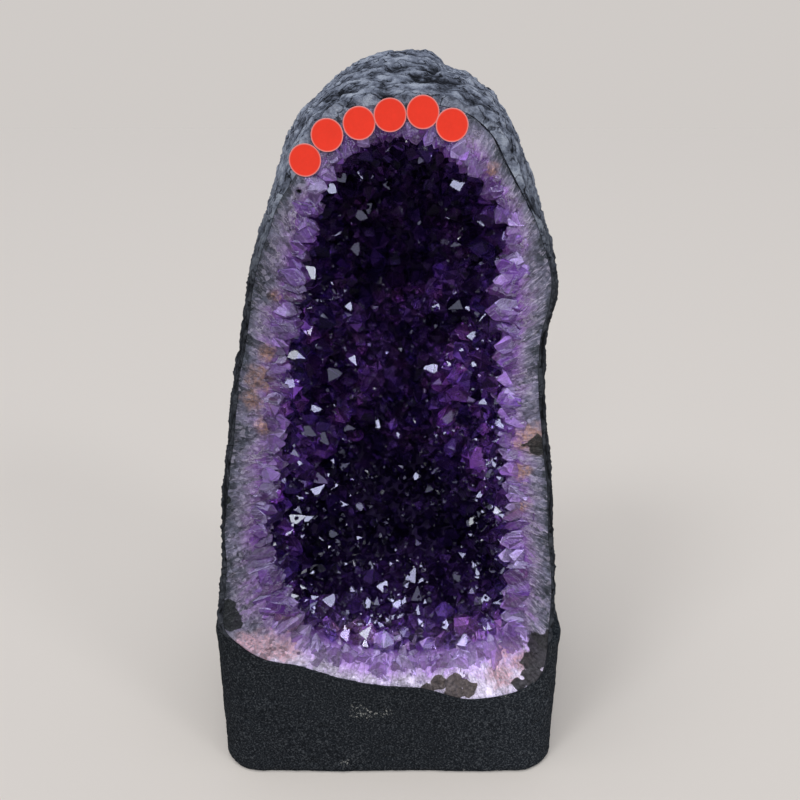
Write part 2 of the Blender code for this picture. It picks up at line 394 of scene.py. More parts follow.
def lumps(points):
    """How far the broad lumps, knobs and dents stand out from the even form, in metres."""
    behind = 1 + smooth_step(*LUMPS_BEHIND, points[:, 1])
    rise = waves(points) * LUMP_HEIGHT * behind * smooth_step(*LUMPS_FROM, points[:, 2])
    for centre, height, spread in KNOBS:
        far = np.linalg.norm(points - centre, axis=1) / spread
        rise += height * np.exp(-(far**2) / 2)
    return rise


def thickness(points):
    """Thickness of the rock: thin at the sides of the saw cut, full at the crown and behind."""
    side = RIM_FOOT + (RIM_SIDE - RIM_FOOT) * smooth_step(*ABOVE_FOOT, points[:, 2])
    rim = side + (RIM_TOP - side) * smooth_step(*UP_TO_CROWN, points[:, 2])
    return rim + (RIM_TOP - rim) * smooth_step(*BEHIND_CUT, points[:, 1])


def weathering(points):
    """Layers, wrinkles, cracks, crevices and grit, as a height in metres."""
    drift = np.stack([noise_at(points + shift, SWIRL_SIZE) for shift in (0.2, 0.5, 0.8)], axis=-1)
    bent = points + SWIRL_BEND * drift
    patchy = 0.20 + 0.80 * smooth_step(-0.25, 0.30, noise_at(points + 0.7, PATCH_SIZE))
    height = np.zeros(len(points))
    for pitch, rise in LAYERS:
        layer = (bent[:, 1] + LAYER_DIP * bent[:, 2]) / pitch + 0.9 * drift[:, 0]
        share = layer - np.floor(layer)
        edge = share**1.4 * (1 - smooth_step(0.84, 1.0, share))
        height += rise * patchy * (edge - 0.35)
    along = bent * ALONG_LAYERS
    for breadth, rise in WRINKLES:
        height += rise * (0.45 - 2 * np.abs(noise_at(along + breadth, breadth)))
    from_crack = np.abs(noise_at(along + 0.9, CRACK_SIZE))
    height -= CRACK_DEPTH * (1 - smooth_step(0.02, 0.11, from_crack))
    height -= CREVICE_DEPTH * smooth_step(0.20, 0.34, noise_at(along + 0.4, CREVICE_SIZE))
    for size, rise in GRIT_SIZES:
        height += rise * noise_at(points, size)
    return height * smooth_step(*RELIEF_FROM, points[:, 2])


def worn_down(points):
    """How far the relief is let into the rock, and chipped away along the saw cut."""
    sink = RELIEF_SINK * smooth_step(CUT_Y, CUT_Y + 0.020, points[:, 1])
    at_cut = np.clip(1 - (points[:, 1] - CUT_Y) / CHIP_REACH, 0, 1)
    chips = 0.2 + 0.8 * smooth_step(-0.3, 0.4, noise_at(points + 0.5, 0.006))
    return sink * smooth_step(*RELIEF_FROM, points[:, 2]) + 0.5 * RIM_SIDE * at_cut**2 * chips


def towards(turns, back):
    """Directions all round the sawn face, turned towards the back by an angle."""
    flat = np.stack([np.cos(turns), np.zeros_like(turns), np.sin(turns)], axis=-1)
    return flat * math.cos(back) + np.array((0, math.sin(back), 0))


def rock_ring(turns, back):
    """A ring of the rock's even form, and the way outward from it, level with the cut near it."""
    directions = towards(turns, back)
    points = MIDDLE + directions * rind_form.reach(MIDDLE, directions)[:, None]
    outward = rind_form.outward(points)
    outward[:, 1] *= smooth_step(CUT_Y, CUT_Y + 0.012, points[:, 1])
    return points, unit(outward)


def lining_ring(turns, back, gap=0.0):
    """A ring of the rock's inner surface, or one this far inside it."""
    points, outward = rock_ring(turns, back)
    return points + outward * (lumps(points) - thickness(points) - gap)[:, None]


def even_turns(number):
    """Angles round the sawn face, even along its edge and few where the foot hides it."""
    fine = np.linspace(0, 2 * math.pi, 4001)
    edge = rock_ring(fine, 0)[0]
    steps = np.linalg.norm(np.diff(edge, axis=0), axis=1)
    climbed = np.append(0, np.cumsum(steps * np.where(edge[1:, 2] < FOOT_HIDES, FOOT_STEPS, 1.0)))
    return np.interp(np.arange(number) / number * climbed[-1], climbed, fine)


rind_form = Egg(RIND_LOW, RIND_TOP, RIND_OUTLINE, AXIS_Y, RIND_FRONT, RIND_BACK)
turns = even_turns(RIND_AROUND)
backs = np.append(
    np.linspace(0, CLOSE_SPAN, RIND_ROWS[0], endpoint=False),
    np.linspace(CLOSE_SPAN, math.pi / 2, RIND_ROWS[1], endpoint=False),
)
rings, reliefs = [], []
for back in (math.pi / 2, *backs[::-1]):
    points, outward = rock_ring(turns if back < math.pi / 2 else np.zeros(1), back)
    relief = weathering(points)
    rise = np.maximum(relief - worn_down(points), -DEEPEST_DENT * thickness(points))
    rings.append(points + outward * (rise + lumps(points))[:, None])
    reliefs.append(relief)
sawn_row = len(rings) - 1
for back in np.linspace(0, math.pi / 2, LINING_ROWS, endpoint=False):
    rings.append(lining_ring(turns, back))
rings.append(lining_ring(np.zeros(1), math.pi / 2))
corners, faces = capped_rings(rings)
rind = mesh_object("basalt_rind", corners, faces, [], smooth=True)
relief = np.concatenate(reliefs)
store(rind, "relief", np.append(relief, np.zeros(len(corners) - len(relief))))
is_sawn = np.zeros(len(faces), bool)
is_sawn[(sawn_row - 1) * RIND_AROUND : sawn_row * RIND_AROUND] = True
rind.data.polygons.foreach_set("use_smooth", ~is_sawn)


def shader_group(name, inputs, outputs):
    """A shader node group: its tree, its named inputs as sources and its named outputs."""
    tree = bpy.data.node_groups.new(name, "ShaderNodeTree")
    for way, sockets in (("INPUT", inputs), ("OUTPUT", outputs)):
        for socket, kind in sockets.items():
            tree.interface.new_socket(socket, in_out=way, socket_type=f"NodeSocket{kind}")
    return tree, tree.nodes.new("NodeGroupInput").outputs, tree.nodes.new("NodeGroupOutput").inputs


def attribute(tree, name, output="Fac"):
    return add_node(tree, "ShaderNodeAttribute", attribute_name=name).outputs[output]


def place_on(tree):
    """The point's place on the object."""
    return add_node(tree, "ShaderNodeTexCoord").outputs["Object"]


def cloudy(tree, place, per_metre, detail=4.0, roughness=0.6, output="Fac"):
    sockets = {"Vector": place, "Scale": per_metre, "Detail": detail, "Roughness": roughness}
    return add_node(tree, "ShaderNodeTexNoise", sockets).outputs[output]


def maths(tree, operation, *values):
    sockets = dict(enumerate(values))
    return add_node(tree, "ShaderNodeMath", sockets, operation=operation).outputs["Value"]


def total(tree, base, *parts):
    """The base and the parts, each a value and its weight, added up."""
    for value, weight in parts:
        base = maths(tree, "MULTIPLY_ADD", value, weight, base)
    return base


def times(tree, *values):
    """The values multiplied."""
    product = values[0]
    for value in values[1:]:
        product = maths(tree, "MULTIPLY", product, value)
    return product


def remap(tree, value, low, high, to_low=0.0, to_high=1.0):
    """The value's way from low to high, held between the two."""
    sockets = {"Value": value, "From Min": low, "From Max": high}
    sockets |= {"To Min": to_low, "To Max": to_high}
    return add_node(tree, "ShaderNodeMapRange", sockets).outputs["Result"]


def mixed(tree, factor, first, second, blend="MIX"):
    """Two colours mixed by a factor."""
    sockets = {"Factor": factor, 6: first, 7: second}
    node = add_node(tree, "ShaderNodeMix", sockets, data_type="RGBA", blend_type=blend)
    return node.outputs[2]


def shaded(tree, colour, tone):
    """The colour, made darker or lighter by a tone or tinted by another colour."""
    return mixed(tree, 1.0, colour, tone, "MULTIPLY")


def split(tree, place):
    return add_node(tree, "ShaderNodeSeparateXYZ", {"Vector": place}).outputs


def tones(tree, value, stops):
    """The colour that a ramp of (place, colour) stops gives to a value."""
    node = add_node(tree, "ShaderNodeValToRGB", {"Fac": value})
    elements = node.color_ramp.elements
    elements[0].position, elements[1].position = stops[0][0], stops[-1][0]
    elements[0].color, elements[1].color = (*stops[0][1], 1), (*stops[-1][1], 1)
    for position, colour in stops[1:-1]:
        elements.new(position).color = (*colour, 1)
    return node.outputs["Color"]


def roughen(tree, shader, height, distance, strength):
    """Bumps the shader's surface by a height."""
    sockets = {"Height": height, "Distance": distance, "Strength": strength}
    bump = add_node(tree, "ShaderNodeBump", sockets)
    tree.links.new(bump.outputs["Normal"], shader.inputs["Normal"])


# Grain of stone: coarse speckles and fine grit, for the rock, the crust and the cement.
grain_group, given, results = shader_group(
    "stone_grain",
    {"Place": "Vector", "Per Metre": "Float"},
    {"Speckle": "Float", "Grit": "Float"},
)
speckle = cloudy(grain_group, given["Place"], given["Per Metre"], 5.0, 0.75)
finer = maths(grain_group, "MULTIPLY", given["Per Metre"], 2.4)
grit = cloudy(grain_group, given["Place"], finer, 3.0, 0.65)
grain_group.links.new(speckle, results["Speckle"])
grain_group.links.new(grit, results["Grit"])


def stone_grain(tree, place, per_metre):
    """Speckle and grit at a place, with this many coarse speckles in a metre."""
    node = add_node(
        tree, "ShaderNodeGroup", {"Place": place, "Per Metre": per_metre}, node_tree=grain_group
    )
    return node.outputs["Speckle"], node.outputs["Grit"]


basalt, tree, shader = new_material("basalt", Roughness=0.72, Specular_IOR_Level=0.35)
place = place_on(tree)
speckle, grit = stone_grain(tree, place, 380.0)
sockets = {"Vector": place, "Scale": (0.22, 1.0, 0.22)}
along_layers = add_node(tree, "ShaderNodeMapping", sockets, vector_type="POINT").outputs["Vector"]
streaks = cloudy(tree, along_layers, 620.0, 6.0, 0.72)
fissures = cloudy(tree, along_layers, 300.0, 3.0, 0.55)
off_middle = maths(tree, "ABSOLUTE", maths(tree, "SUBTRACT", fissures, 0.5))
cracked = remap(tree, off_middle, 0.0, 0.020, 1.0, 0.0)
# Painted shade and highlight: the relief's dents are coloured darker and its raised ridges lighter;
# the cracks are darker too.
depth = remap(tree, attribute(tree, "relief"), -0.0026, 0.0018, -1.21, -0.21)
tone = total(tree, depth, (speckle, 0.75), (streaks, 1.9), (cracked, -0.36))
low_is_darker = remap(tree, split(tree, place)["Z"], 0.300, 0.355, 0.16)
base = shaded(tree, tones(tree, tone, BASALT_SHADED_TONES), low_is_darker)
tree.links.new(base, shader.inputs["Base Color"])
roughen(tree, shader, total(tree, grit, (cracked, -0.5), (streaks, 1.3)), 0.0010, 0.90)
rind.data.materials.append(basalt)
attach(rind, "root")
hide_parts("rock_shell")


# Crystal crust: banded agate and quartz against the rock, sawn nearly flat at the front, with
# the wall of the hollow behind it. It grew in place as one lining on the rock.
CRUST_GAP = 0.0002  # between the rock and the crust
CRACK_GAP = 0.0011  # where they have parted, at the upper right
HOLLOW_Y = -0.062
HOLLOW_LOW = (0.012, 0.080)
HOLLOW_TOP = (0.006, 0.371)
HOLLOW_OUTLINE = (
    (0.096, 0.044, 0.066),
    (0.127, 0.059, 0.071),
    (0.168, 0.067, 0.068),
    (0.200, 0.057, 0.064),
    (0.240, 0.054, 0.060),
    (0.280, 0.047, 0.060),
    (0.320, 0.040, 0.062),
    (0.350, 0.031, 0.047),
)
HOLLOW_FRONT = (1.1, 1.1)
HOLLOW_BACK = (1.72, 1.72)
HOLLOW_LUMP_HEIGHT = 0.0022
CRUST_AROUND = 1000
BAND_ROWS = 42
WALL_ROWS = 36
BACK_ROWS = 6
# Size, tilt and height of the broken grains on the sawn face
BREAKS = ((0.0065, 0.26, 0.0009), (0.0026, 0.30, 0.0004))
BREAK_LENGTH = 0.6  # the grains are longer towards the hollow
BAND_FALL = 0.0034  # how far the sawn face falls back at the hollow's edge
FIBRE_STRETCH = 0.30  # of the quartz fibres, which point at the hollow
# x, z and size of the stains, of the darker patches and of the small holes in the sawn face, whose
# dark colour is painted shade
PEACH_STAINS = (
    (-0.0631, 0.2546, 0.0042), (-0.0546, 0.2936, 0.0036), (-0.0619, 0.2476, 0.0036),
    (-0.0590, 0.2390, 0.0040), (-0.0640, 0.2240, 0.0050), (-0.0690, 0.2390, 0.0060),
    (-0.0600, 0.2640, 0.0050), (-0.0660, 0.2510, 0.0065),
    (-0.0798, 0.0910, 0.0090), (-0.0588, 0.0870, 0.0098), (-0.0700, 0.0880, 0.0110),
    (-0.0551, 0.1040, 0.0069), (0.0510, 0.3540, 0.0034), (0.0342, 0.3533, 0.0020),
    (0.0755, 0.2172, 0.0085), (0.0714, 0.1983, 0.0060), (0.0657, 0.0700, 0.0095),
    (0.0665, 0.0839, 0.0060), (0.0720, 0.1780, 0.0050), (0.0765, 0.0790, 0.0075),
)
DARK_PATCHES = (
    (-0.0908, 0.1126, 0.0090), (-0.0880, 0.1060, 0.0070), (0.0793, 0.2144, 0.0059),
    (-0.0852, 0.1824, 0.0029), (0.0230, 0.0600, 0.0050), (0.0300, 0.0645, 0.0060),
    (0.0395, 0.0650, 0.0062), (0.0475, 0.0605, 0.0058), (0.0390, 0.0585, 0.0070),
    (0.0880, 0.0907, 0.0098), (0.0852, 0.0785, 0.0079), (0.0768, 0.0630, 0.0052),
    (0.0850, 0.0690, 0.0080),
)
HOLES = (
    (-0.0408, 0.3445, 0.0015), (-0.0358, 0.3375, 0.0020), (-0.0394, 0.3313, 0.0015),
    (-0.0374, 0.1256, 0.0024),
)
HOLE_DEPTH = 0.0030
# Share of the way across the band to colour: agate, quartz, violet, then the hollow's wall
CRUST_TONES = (
    (0.00, (0.056, 0.062, 0.080)),
    (0.07, (0.096, 0.098, 0.140)),
    (0.22, (0.150, 0.136, 0.205)),
    (0.38, (0.225, 0.160, 0.310)),
    (0.54, (0.190, 0.090, 0.305)),
    (0.70, (0.120, 0.034, 0.235)),
    (0.84, (0.070, 0.017, 0.160)),
    (1.00, (0.016, 0.005, 0.046)),
)
PEACH = (0.330, 0.190, 0.155)
PINK = (0.440, 0.255, 0.305)
DARK_AGATE = (0.026, 0.030, 0.030)
BROWN_ROCK = (0.118, 0.094, 0.078)
WHITE_QUARTZ = (0.590, 0.525, 0.680)
LILAC_QUARTZ = (0.470, 0.310, 0.660)

hollow_form = Egg(HOLLOW_LOW, HOLLOW_TOP, HOLLOW_OUTLINE, HOLLOW_Y, HOLLOW_FRONT, HOLLOW_BACK)
turn = np.linspace(0, 2 * math.pi, CRUST_AROUND, endpoint=False)


def crust_ring(back):
    """A ring of the crust's outer surface, just inside the rock."""
    touching, parted = (lining_ring(turn, back, gap) for gap in (CRUST_GAP, CRACK_GAP))
    x, _, z = touching.T
    at_crack = smooth_step(0.020, 0.045, x) * smooth_step(0.322, 0.348, z)
    at_crack *= smooth_step(-0.35, 0.25, noise_at(touching, 0.006))
    return touching + (parted - touching) * at_crack[:, None]


def wall_ring(back):
    directions = towards(turn, back)
    points = MIDDLE + directions * hollow_form.reach(MIDDLE, directions)[:, None]
    return points + directions * (waves(points) * HOLLOW_LUMP_HEIGHT)[:, None]


quarter = math.pi / 2
rock_angles = quarter * (1 - np.arange(1, BACK_ROWS + 1) / BACK_ROWS)
wall_angles = quarter * np.arange(1, WALL_ROWS) / WALL_ROWS
outer_rim, inner_rim = crust_ring(0), wall_ring(0)
outer_rim[:, 1] = inner_rim[:, 1] = CUT_Y
rim_reach = [np.hypot(*(rim - MIDDLE)[:, (0, 2)].T) for rim in (outer_rim, inner_rim)]


def band_place(points):
    """Share of the way from the rock to the hollow, and the place along the quartz fibres."""
    spoke = (points - MIDDLE)[:, (0, 2)]
    angle = np.arctan2(spoke[:, 1], spoke[:, 0])
    outer, inner = (np.interp(angle, turn, reach, period=2 * math.pi) for reach in rim_reach)
    reach = np.hypot(*spoke.T)
    edge = MIDDLE + np.stack([np.cos(angle) * outer, 0 * angle, np.sin(angle) * outer], axis=-1)
    return (outer - reach) / (outer - inner), edge + (points - edge) * FIBRE_STRETCH


def spots_at(points, spots):
    """How strongly each point lies in a ragged spot, from 0 to 1."""
    strength = np.zeros(len(points))
    ragged = 1 + 0.55 * noise_at(points, 0.0045)
    for x, z, size in spots:
        far = np.hypot(points[:, 0] - x, points[:, 2] - z) / size
        strength = np.maximum(strength, 1 - smooth_step(0.45, 1.25, far * ragged))
    return strength


def store_quartz(piece, corners, across):
    """What the quartz's colour needs to know at each corner."""
    store(piece, "across", across)
    store(piece, "fibre", band_place(corners)[1])
    near_face = corners[:, 1] < CUT_Y + 0.012
    store(piece, "peach", spots_at(corners, PEACH_STAINS) * near_face)
    # The darker patches are the stone's own colour; in the holes the dark is painted shade.
    dark = np.maximum(spots_at(corners, DARK_PATCHES), spots_at(corners, HOLES))
    store(piece, "dark", dark * near_face)


def broken(points):
    """Depth of the grains where the quartz broke instead of being sawn."""
    depth = np.zeros(len(points))
    for size, tilt, height in BREAKS:
        for i, point in enumerate((points / size).tolist()):
            centre = noise.voronoi(Vector(point), distance_metric="DISTANCE")[1][0]
            chance = noise.cell_vector(centre * 37.0)
            leaning = (chance[0] - 0.5) * (point[0] - centre[0])
            leaning += (chance[1] - 0.5) * (point[2] - centre[2])
            depth[i] += 2 * tilt * size * leaning + height * chance[2]
    return depth


band = [
    outer_rim + (inner_rim - outer_rim) * row / BAND_ROWS for row in range(1, BAND_ROWS + 1)
]
straight_back = np.array(((0, 1, 0),))
rock_back = lining_ring(np.zeros(1), quarter, CRUST_GAP)
wall_back = MIDDLE + straight_back * hollow_form.reach(MIDDLE, straight_back)[:, None]
rings = [rock_back, *(crust_ring(angle) for angle in rock_angles[:-1]), outer_rim, *band]
rings += [*(wall_ring(angle) for angle in wall_angles), wall_back]
corners, faces = capped_rings(rings)
band_shares = np.arange(1, BAND_ROWS + 1) / BAND_ROWS
wall_shares = 1 + np.arange(1, WALL_ROWS) / WALL_ROWS
across = np.zeros(len(corners))
across[1 + CRUST_AROUND * BACK_ROWS : -1] = np.repeat([*band_shares, *wall_shares], CRUST_AROUND)
across[-1] = 2.0
on_face = np.flatnonzero((across > 0) & (across < 1.12))
front, share = corners[on_face], across[on_face]
fall = smooth_step(0.0, 0.06, share) * (1 - smooth_step(1.0, 1.1, share))
squeezed = front + (band_place(front)[1] - front) * (1 - BREAK_LENGTH)
rough = 0.30 + 0.70 * smooth_step(0.15, 0.50, share)
recess = rough * np.maximum(broken(squeezed), 0) + 0.0004 * noise_at(front, 0.0018)
recess += BAND_FALL * smooth_step(0.45, 0.95, share) ** 1.5
recess += HOLE_DEPTH * spots_at(front, HOLES)
corners[on_face, 1] += fall * np.maximum(recess, 0)
crust = mesh_object("agate_crust", corners, faces, [], smooth=True)
store_quartz(crust, corners, across)


def cell_chances(tree, place, per_metre):
    """Chances that are the same all over a cell of stone."""
    cells = add_node(tree, "ShaderNodeTexVoronoi", {"Vector": place, "Scale": per_metre})
    return add_node(tree, "ShaderNodeSeparateColor", {"Color": cells.outputs["Color"]}).outputs


# Colour and relief of the quartz and agate, which the crust and the crystals at its edge share.
quartz_group, given, results = shader_group(
    "mottled_quartz",
    {"Place": "Vector", "Fibre": "Vector", "Across": "Float", "Peach": "Float", "Dark": "Float"},
    {"Color": "Color", "Relief": "Float"},
)
tree, place, across = quartz_group, given["Place"], given["Across"]
x, _, z = split(tree, place)
broad = cloudy(tree, place, 85.0)
speckle, grit = stone_grain(tree, place, 520.0)
fibres = cloudy(tree, given["Fibre"], 850.0, 4.0, 0.65)
warp = cloudy(tree, place, 260.0, 3.0, output="Color")
sockets = {0: warp, 1: (0.0050, 0.0050, 0.0050), 2: given["Fibre"]}
warped = add_node(tree, "ShaderNodeVectorMath", sockets, operation="MULTIPLY_ADD").outputs["Vector"]
cell_chance = cell_chances(tree, warped, 200.0)["Red"]
grain_chance = cell_chances(tree, place, 560.0)["Green"]
sockets = {"Vector": warped, "Scale": 200.0}
cell_edge = add_node(tree, "ShaderNodeTexVoronoi", sockets, feature="DISTANCE_TO_EDGE")

# How light it is: speckles, cells, fibres and grains, and paler at its lower and upper ends.
grains = times(
    tree,
    maths(tree, "SUBTRACT", grain_chance, 0.5),
    remap(tree, across, 0.30, 1.00, 1.20, 0.50),
    remap(tree, broad, 0.40, 0.60, 1.10, 0.35),
    remap(tree, x, -0.02, 0.04, 0.75, 0.25),
)
fibrous = remap(tree, x, -0.06, 0.04, 0.40, 2.2)
centred_fibres = maths(tree, "SUBTRACT", fibres, 0.5)
tone = total(tree, -0.19, (speckle, 1.90), (cell_chance, 0.56), (centred_fibres, fibrous))
tone = times(
    tree,
    tone,
    maths(tree, "ADD", grains, 1.0),
    remap(tree, z, 0.07, 0.12, 1.34, 1.0),
    remap(tree, x, -0.06, 0.06, 0.90, 1.20),
    remap(tree, z, 0.32, 0.37, 1.0, 1.35),
)

# Its colour across the band, which drifts in and out, with white veins, flecks and strands.
drifted = maths(tree, "SUBTRACT", total(tree, across, (broad, 0.80), (cell_chance, 0.20)), 0.50)
colour = shaded(tree, tones(tree, times(tree, drifted, 0.80), CRUST_TONES), tone)
veins = times(
    tree,
    remap(tree, cell_edge.outputs["Distance"], 0.0, 0.06, 1.0, 0.0),
    remap(tree, broad, 0.42, 0.58),
    remap(tree, across, 0.03, 0.30),
)
strands = times(
    tree,
    remap(tree, fibres, 0.56, 0.68, 0.0, 0.72),
    remap(tree, x, -0.06, 0.02, 0.45, 1.0),
)
flecks = maths(tree, "MAXIMUM", remap(tree, grain_chance, 0.88, 0.96, 0.0, 0.28), strands)
pale = maths(tree, "MAXIMUM", times(tree, veins, 0.85), flecks)
pale = times(tree, pale, remap(tree, drifted, 0.75, 1.15, 1.0, 0.0))
colour = mixed(tree, pale, colour, WHITE_QUARTZ)

# Lilac and white quartz over the foot, stains, and last the patches of bare rock and the painted
# shade in the holes.
lilac = times(
    tree,
    remap(tree, z, 0.082, 0.108, 0.70, 0.0),
    remap(tree, across, 0.96, 1.04, 1.0, 0.0),
    remap(tree, drifted, 0.30, 0.65),
)
whiter = times(
    tree,
    remap(tree, z, 0.078, 0.102, 0.95, 0.0),
    remap(tree, drifted, 0.42, 0.78, 1.0, 0.0),
)
stained = times(tree, given["Peach"], remap(tree, speckle, 0.36, 0.56, 0.15, 0.90))
stain = mixed(tree, remap(tree, z, 0.12, 0.16), PINK, PEACH)
for share, stone in ((lilac, LILAC_QUARTZ), (whiter, WHITE_QUARTZ), (stained, stain)):
    colour = mixed(tree, share, colour, shaded(tree, stone, tone))
brown = times(tree, remap(tree, x, 0.0, 0.03), remap(tree, x, 0.055, 0.075, 1.0, 0.12))
rock = mixed(tree, brown, DARK_AGATE, BROWN_ROCK)
rock = shaded(tree, rock, total(tree, -1.05, (speckle, 3.6)))
ragged = total(tree, given["Dark"], (speckle, 0.9))
colour = mixed(tree, remap(tree, ragged, 0.87, 1.01, 0.0, 0.95), colour, rock)
tree.links.new(colour, results["Color"])
tree.links.new(total(tree, maths(tree, "ADD", grit, veins), (fibres, 0.8)), results["Relief"])


def mottled_quartz(tree):
    """Colour and relief of the quartz on a piece that store_quartz has measured."""
    sockets = {"Place": place_on(tree), "Fibre": attribute(tree, "fibre", "Vector")}
    sockets |= {name: attribute(tree, name.lower()) for name in ("Across", "Peach", "Dark")}
    node = add_node(tree, "ShaderNodeGroup", sockets, node_tree=quartz_group)
    return node.outputs["Color"], node.outputs["Relief"]


agate, tree, shader = new_material("agate", Roughness=0.30)
colour, raised = mottled_quartz(tree)
tree.links.new(colour, shader.inputs["Base Color"])
roughen(tree, shader, raised, 0.0008, 0.85)
crust.data.materials.append(agate)
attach(crust, "root")
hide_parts("crystal_crust")


# Amethyst: thousands of six-sided points rooted all over the hollow's wall, pale at the root
# and violet at the tip. They grew there from water rich in silica. They are clear, so
# they take the colour of what lies behind them.
CRYSTAL_SIZES = ((0.0072, 0.0056, 130), (0.0056, 0.0034, 9000), (0.0034, 0.0018, 15000))
CRYSTAL_SPACING = 0.78  # least distance between two, over the sum of their radii
CRYSTAL_LEAN = 0.50
CRYSTAL_LENGTH = (1.0, 2.1)  # from the wall to the point, over the radius
BIG_CRYSTAL = 0.0056  # over this radius they stand out from the rest
BIG_LENGTH = (1.7, 2.3)
OFFSHOOT_SIZE = (0.0007, 0.0017)
FACE_SLOPE = math.radians(51.8)  # of the end faces, as in quartz
SIDE_REACH = (0.70, 1.05)  # least and greatest distance of a side from the axis, over the radius
END_SHIFTS = (0.05, 0.26)  # most that the end faces lie further out, in turn, over the radius
TRIPLES = np.array(list(itertools.combinations(range(15), 3)))
CORNER_SLACK = 1e-6
FRONT_GAP = 0.0003  # least depth of a crystal behind the sawn face
AMETHYST_ROOT = (0.100, 0.048, 0.242)
AMETHYST_TIP = (0.050, 0.023, 0.178)
GLOWING_ROOT = (0.385, 0.195, 0.690)
GLOWING_TIP = (0.245, 0.100, 0.620)
PALE_ROOT = (0.700, 0.600, 0.800)
PALE_TIP = (0.400, 0.220, 0.640)
REDDISH = (1.25, 0.85, 0.88)  # the hue of the redder crystals over that of the rest
CLEAR_ABSORBS = ((0.42, 0.16, 0.80), 60.0)  # colour and density
ROOT_DEPTH = 0.6  # below the wall, over the radius
WALL_SAW = (0.0008, 0.05)  # how far behind the sawn face and how unevenly the saw cuts these
LOW_DOWN = (0.080, 0.108)  # the crystals are pale below the first height, and not above the second
PALE_BEHIND_CUT = (0.012, 0.050)  # how far behind the cut those fade
PALE_AT_CUT = (0.002, 0.014)  # and the slightly pale ones at the cut all round
GLOW_HEIGHT, GLOW_SPREAD = 0.215, 0.062  # of the belt where the crystals glow most
GLOW_PATCHES = 0.026  # size of the patches that glow together
# Painted shade: crystals deep behind the cut and low in the hollow are coloured darker.
SHADE_DEEP_IN = (0.015, 0.050)  # behind the cut, where it gets darker
SHADE_UP_TO = (0.130, 0.175)  # z over which that ends
# Least and greatest share of glow, paleness, redness and shade that a crystal takes
LEAST_SHARES = (0.4, 0.3, 0.0, 0.45)
GREATEST_SHARES = (1.5, 1.2, 1.0, 1.5)
BUDS_FROM = 0.0032  # crystals over this radius may carry small ones


def solid_behind(normals, offsets):
    """Corners and triangles of the solid that lies behind all these planes."""
    sets = normals[TRIPLES]
    sharp = np.abs(np.linalg.det(sets)) > 1e-3
    found = np.linalg.solve(sets[sharp], offsets[TRIPLES[sharp]][..., None])[..., 0]
    kept = found[(found @ normals.T <= offsets + CORNER_SLACK).all(axis=1)]
    kept = np.unique(np.round(kept, 5), axis=0)
    if len(kept) < 4:
        return kept, []
    hull = bmesh.new()
    for corner in kept:
        hull.verts.new(corner)
    made = bmesh.ops.convex_hull(hull, input=hull.verts[:])
    unused = set(made["geom_interior"] + made["geom_unused"])
    loose = [item for item in unused if isinstance(item, bmesh.types.BMVert)]
    bmesh.ops.delete(hull, geom=loose, context="VERTS")
    hull.verts.index_update()
    corners = np.array([corner.co for corner in hull.verts])
    faces = [[corner.index for corner in face.verts] for face in hull.faces]
    hull.free()
    return corners, faces


class Druse:
    """Gathers six-sided crystals into one mesh."""

    def __init__(self, seed):
        self.rng = np.random.default_rng(seed)
        self.corners, self.faces, self.notes = [], [], []
        self.count = 0

    def grow(self, seat, axis, radius, length, root, saw_depth, saw_tilt, *notes):
        """One crystal from its seat on the wall, cut off at the saw's plane."""
        axis = axis / np.linalg.norm(axis)
        helper = np.array((0, 0, 1.0)) if abs(axis[2]) < 0.8 else np.array((1.0, 0, 0))
        side = np.cross(axis, helper)
        side /= np.linalg.norm(side)
        other = np.cross(axis, side)
        spin = self.rng.uniform(0, math.tau) + np.arange(6) * math.pi / 3
        spokes = np.outer(np.cos(spin), side) + np.outer(np.sin(spin), other)
        walls = radius * self.rng.uniform(*SIDE_REACH, 6)
        ends = math.cos(FACE_SLOPE) * axis + math.sin(FACE_SLOPE) * spokes
        shifts = radius * np.tile(END_SHIFTS, 3) * self.rng.uniform(0, 1, 6)
        front = np.array((0, -1.0, 0))
        saw = unit(front + self.rng.normal(0, saw_tilt, 3))
        saw_point = seat * (1, 0, 1) + (0, CUT_Y + saw_depth, 0)
        normals = np.concatenate([spokes, ends, (-axis, saw, front)])
        stops = (root, saw @ (saw_point - seat), seat[1] - CUT_Y - FRONT_GAP)
        offsets = np.concatenate([walls, ends @ (axis * length) + shifts, stops])
        corners, faces = solid_behind(normals, offsets)
        if not faces:
            return
        self.corners.append(corners + seat)
        self.faces += [[i + self.count for i in face] for face in faces]
        tips = np.clip(corners @ axis / length, 0, 1)
        self.notes.append(np.column_stack([tips] + [np.full(len(corners), n) for n in notes]))
        self.count += len(corners)

    def finish(self, name, finish, names):
        """The mesh object, and its corners and what was noted about each of them."""
        corners, notes = np.concatenate(self.corners), np.concatenate(self.notes)
        made = mesh_object(name, corners, self.faces, [finish])
        for note, values in zip(names, notes.T):
            store(made, note, values)
        facet = made.data.attributes.new("facet", "FLOAT", "FACE")
        facet.data.foreach_set("value", self.rng.uniform(0, 1, len(made.data.polygons)))
        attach(made, "root")
        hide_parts("crystal_crust")
        shiny_pieces.objects.link(made)
        return made, corners


def absorb(tree, colour, density):
    """Light that goes through the crystal loses all but this colour."""
    sockets = {"Color": colour, "Density": density}
    volume = add_node(tree, "ShaderNodeVolumeAbsorption", sockets)
    tree.links.new(volume.outputs["Volume"], tree.nodes["Material Output"].inputs["Volume"])


def inner_light(tree):
    """How bright a crystal's face shows the light inside: each face differently."""
    return total(tree, 0.40, (maths(tree, "POWER", attribute(tree, "facet"), 2.4), 2.2))


